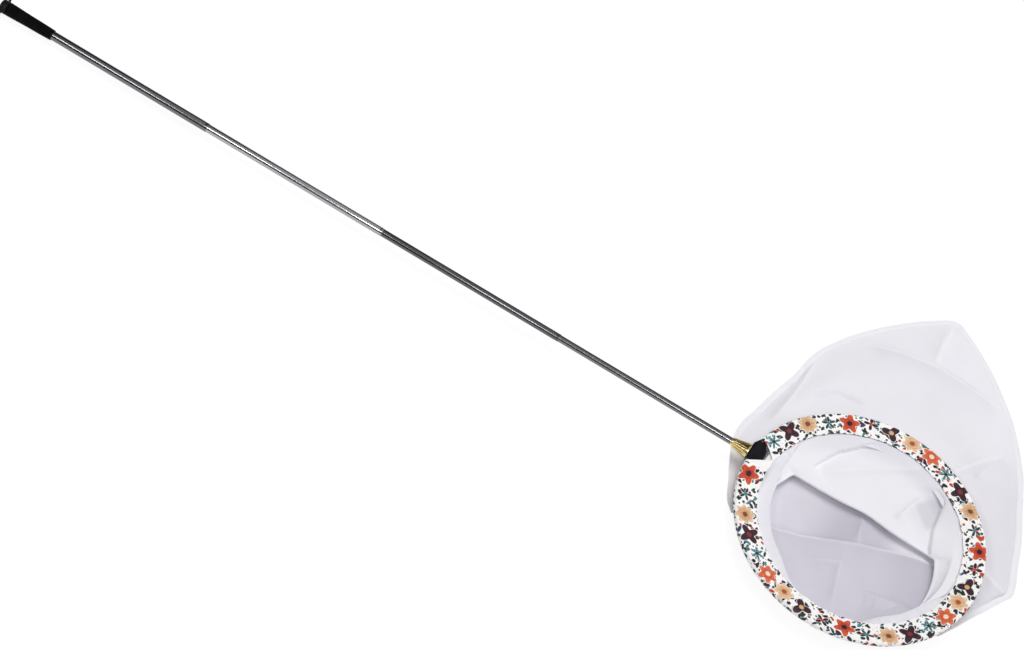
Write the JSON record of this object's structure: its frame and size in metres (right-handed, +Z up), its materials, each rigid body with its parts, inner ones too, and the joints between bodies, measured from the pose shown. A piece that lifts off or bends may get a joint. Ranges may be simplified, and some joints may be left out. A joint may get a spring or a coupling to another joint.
{
  "type": "insect net",
  "caption": "Hand net for insects: slim telescopic steel pole with a foam grip and hang cord, brass ferrule, wire hoop in a printed cloth sleeve and a shallow white mesh bag.",
  "frame": {"origin": "on the floor, under the middle of the net's box without the hang cord", "axes": "+X along the pole from the grip to the hoop, +Y to the side where the bag lies, +Z up from the floor"},
  "size_m": [1.6481, 0.5996, 0.0333],
  "materials": {
    "black_plastic": "moulded, satin",
    "black_foam": "closed-cell foam, matt",
    "black_cord": "braided cord",
    "bright_steel": "polished stainless tube",
    "spring_steel": "drawn wire",
    "nylon": "turned nylon",
    "brass": "polished, fluted",
    "printed_cloth": "printed satin ribbon",
    "white_mesh": "fine knitted mesh"
  },
  "bodies": {
    "head": {"tube_4": "bright_steel", "stop_plug_4": "nylon", "ferrule": "brass", "hoop_stud": "spring_steel", "hoop_base": "black_plastic", "wire_screw_near": "spring_steel", "wire_screw_far": "spring_steel", "hoop_wire": "spring_steel", "printed_band": "printed_cloth", "hem_tape": "white_mesh", "bag_upper_panel": "white_mesh", "bag_lower_panel": "white_mesh", "bag_edge_seam": "white_mesh"},
    "swivel_ring": {"spring_ring_4": "spring_steel"},
    "section_3": {"tube_3": "bright_steel", "stop_plug_3": "nylon", "spring_ring_3": "spring_steel"},
    "section_2": {"tube_2": "bright_steel", "stop_plug_2": "nylon", "spring_ring_2": "spring_steel"},
    "handle": {"tube_1": "bright_steel", "foam_grip": "black_foam", "end_cap": "black_plastic", "hang_cord": "black_cord"}
  },
  "joints": [
    {"name": "pole_swivel", "type": "hinge", "parent": "head", "child": "swivel_ring", "pos_m": [0.05482, -0.1088, 0.01858], "axis": [0.9999, 0, 0.0104], "continuous": true},
    {"name": "tip_slide", "type": "slide", "parent": "swivel_ring", "child": "section_3", "axis": [0.9999, 0, 0.0104], "range_m": [0, 0.25]},
    {"name": "middle_slide", "type": "slide", "parent": "section_3", "child": "section_2", "axis": [0.9999, 0, 0.0104], "range_m": [0, 0.25]},
    {"name": "grip_slide", "type": "slide", "parent": "section_2", "child": "handle", "axis": [0.9999, 0, 0.0104], "range_m": [0, 0.25]}
  ]
}
